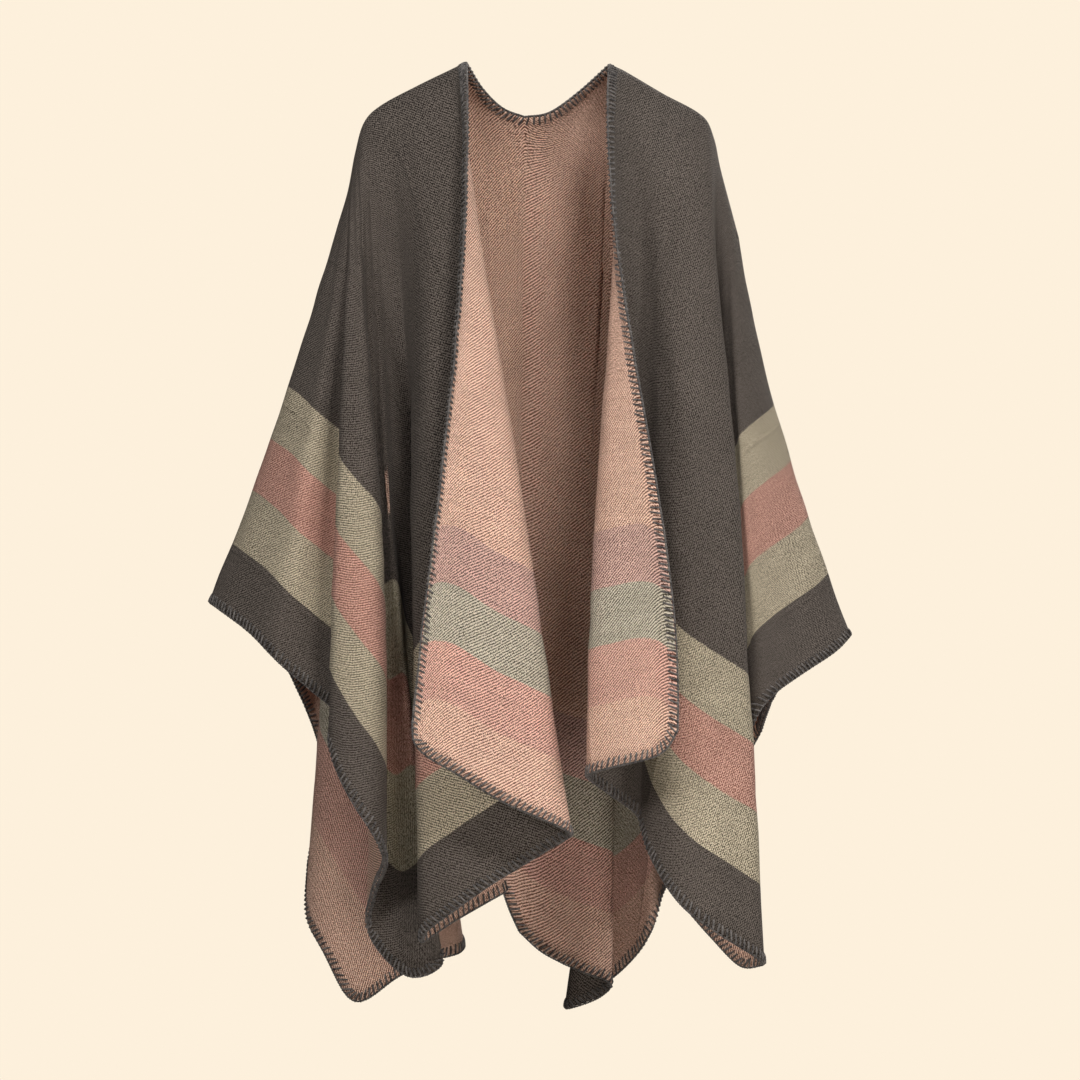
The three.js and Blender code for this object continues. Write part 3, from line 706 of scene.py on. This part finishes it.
def yarnFinish(name, light, shadow):
    book = Book(name, 0.85)
    place = book.node("ShaderNodeTexCoord", None, (), 3)
    fleck = book.noise(place, 1500.0, 2.0)
    broad = book.noise(place, 260.0, 2.0)
    share = ((fleck - 0.5) * 2.0 + (broad - 0.5) * 1.6 + 0.5).step(0.0, 1.0)
    book.give("Base Color", book.mix(share, shadow, light))
    book.bump((fleck - 0.5) * 0.0006, 0.8)
    book.shader.inputs["Sheen Weight"].default_value = 0.2
    book.shader.inputs["Specular IOR Level"].default_value = 0.25
    return book.finish


# Blanket stitch round every edge: a bar over the edge for each stitch, and a run of yarn along the edge

stitch = {
    "pitch": 0.0053,
    "depth": 0.0078,
    "barThick": 0.00095,
    "slant": 0.38,
    "runThick": 0.0008,
    "sides": 5,
    "unevenness": 0.09,
    "seed": 11,
    "lightYarn": (0.200, 0.184, 0.176),
    "darkYarn": (0.020, 0.018, 0.020),
}


def edgeFrames(hung):
    # the whole edge as a closed line: place, and the direction in the cloth that points in from the edge
    last = len(hung) - 1
    runs = [
        (hung[0, 1:], hung[1, 1:] - hung[0, 1:]),
        (hung[1:last, -1], hung[1:last, -2] - hung[1:last, -1]),
        (hung[last, :0:-1], hung[last - 1, :0:-1] - hung[last, :0:-1]),
    ]
    quarter, neck = cloth["quarterRays"] * cloth["raysBetween"], cloth["neckRays"] * cloth["raysBetween"]
    first = 2 * quarter
    neckRows = list(range(first + 2 * neck, first - 1, -1))
    runs.append((hung[neckRows, 0], hung[neckRows, 1] - hung[neckRows, 0]))
    places = np.concatenate([run[0] for run in runs])
    inward = np.concatenate([run[1] for run in runs])
    return places, inward


def spreadEvenly(places, inward, pitch):
    closed = np.vstack([places, places[:1]])
    ways = np.linalg.norm(np.diff(closed, axis=0), axis=1)
    far = np.concatenate([[0], np.cumsum(ways)])
    count = int(far[-1] / pitch)
    at = np.arange(count) * far[-1] / count
    inwardClosed = np.vstack([inward, inward[:1]])
    inwardClosed = inwardClosed / np.maximum(np.linalg.norm(inwardClosed, axis=1, keepdims=True), 1e-9)
    spot = np.stack([np.interp(at, far, closed[:, k]) for k in range(3)], axis=1)
    inside = np.stack([np.interp(at, far, inwardClosed[:, k]) for k in range(3)], axis=1)
    onward = np.roll(spot, -1, axis=0) - np.roll(spot, 1, axis=0)
    onward /= np.maximum(np.linalg.norm(onward, axis=1, keepdims=True), 1e-9)
    inside -= onward * (inside * onward).sum(axis=1, keepdims=True)
    inside /= np.maximum(np.linalg.norm(inside, axis=1, keepdims=True), 1e-9)
    return spot, inside, onward


def sweep(mesh, points, radii, sides, closed=False):
    # a tube of the given radius along the points
    points = [Vector(point) for point in points]
    count = len(points)
    rings = []
    up = None
    for i, point in enumerate(points):
        before = points[i - 1] if i or closed else point
        after = points[(i + 1) % count] if i + 1 < count or closed else point
        forward = (after - before).normalized()
        if up is None:
            up = forward.orthogonal().normalized()
        up = (up - forward * up.dot(forward)).normalized()
        side = forward.cross(up)
        ring = []
        for k in range(sides):
            turn = 2 * math.pi * k / sides
            ring.append(mesh.verts.new(point + (up * math.cos(turn) + side * math.sin(turn)) * radii[i]))
        rings.append(ring)
    links = count if closed else count - 1
    for i in range(links):
        ringA, ringB = rings[i], rings[(i + 1) % count]
        for k in range(sides):
            n = (k + 1) % sides
            mesh.faces.new((ringA[k], ringA[n], ringB[n], ringB[k])).smooth = True
    if not closed:
        mesh.faces.new(reversed(rings[0]))
        mesh.faces.new(rings[-1])


def makeStitches(hung, sheet):
    places, inward = edgeFrames(hung)
    graph = bpy.context.evaluated_depsgraph_get()
    surface = BVHTree.FromObject(sheet, graph)
    spot, inside, onward = spreadEvenly(places, inward, stitch["pitch"])
    chance = np.random.default_rng(stitch["seed"])
    mesh = bmesh.new()
    half = cloth["wall"] * millimetre / 2
    thick = stitch["barThick"]
    for point, way, run in zip(spot, inside, onward):
        facing = np.cross(run, way)
        lean = run * (stitch["slant"] + chance.normal(0, stitch["unevenness"])) * stitch["depth"]
        deep = stitch["depth"] * (1 + chance.normal(0, stitch["unevenness"] * 0.6))
        line = []
        for share, lift in ((1.0, 0.2), (0.66, 0.9), (0.3, 1.0), (0.0, 0.8)):
            line.append((point + way * deep * share + lean * share, facing, lift))
        bar = []
        for place, outwards, lift in line:
            bar.append(Vector(place + outwards * (half + thick * lift)))
        bar.append(Vector(point - way * thick * 1.2))
        for place, outwards, lift in reversed(line):
            bar.append(Vector(place - outwards * (half + thick * lift)))
        for k, place in enumerate(bar):
            if k in (0, 1, 2, 6, 7, 8):
                found, normal, _, distance = surface.find_nearest(place)
                if found is not None and distance < 0.004:
                    high = line[min(k, 8 - k)][2] * thick
                    bar[k] = found + normal * high * 0.9
        sweep(mesh, bar, [thick * (0.8 if k in (0, 8) else 1.0) for k in range(9)], stitch["sides"])
    runSpot, runInside, _ = spreadEvenly(places, inward, stitch["pitch"] * 0.5)
    rope = []
    for i, (point, way) in enumerate(zip(runSpot, runInside)):
        rope.append(point - way * stitch["runThick"] * (1.3 if i % 2 else 0.7))
    sweep(mesh, rope, [stitch["runThick"]] * len(rope), stitch["sides"], closed=True)
    bmesh.ops.recalc_face_normals(mesh, faces=mesh.faces)
    data = bpy.data.meshes.new("blanketStitch")
    mesh.to_mesh(data)
    mesh.free()
    piece = bpy.data.objects.new("blanketStitch", data)
    bpy.context.collection.objects.link(piece)
    return piece


print("studio")
bpy.context.scene.view_settings.view_transform = "Standard"
makeCamera()
makeLights()
makeSurroundings()

print("cloth")
sheet, hungGrid = makeCloth()
outerFinish = wovenFinish("outerFace", weave["outer"], weave["outerShares"])
innerFinish = wovenFinish("innerFace", weave["inner"], weave["innerShares"])
yarn = yarnFinish("stitchYarn", stitch["lightYarn"], stitch["darkYarn"])
thicken(sheet, outerFinish, innerFinish, outerFinish)

print("blanket stitch")
stitches = makeStitches(hungGrid, sheet)
stitches.data.materials.append(yarn)

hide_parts("cloth")
for piece in (sheet, stitches):
    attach(piece, "root")
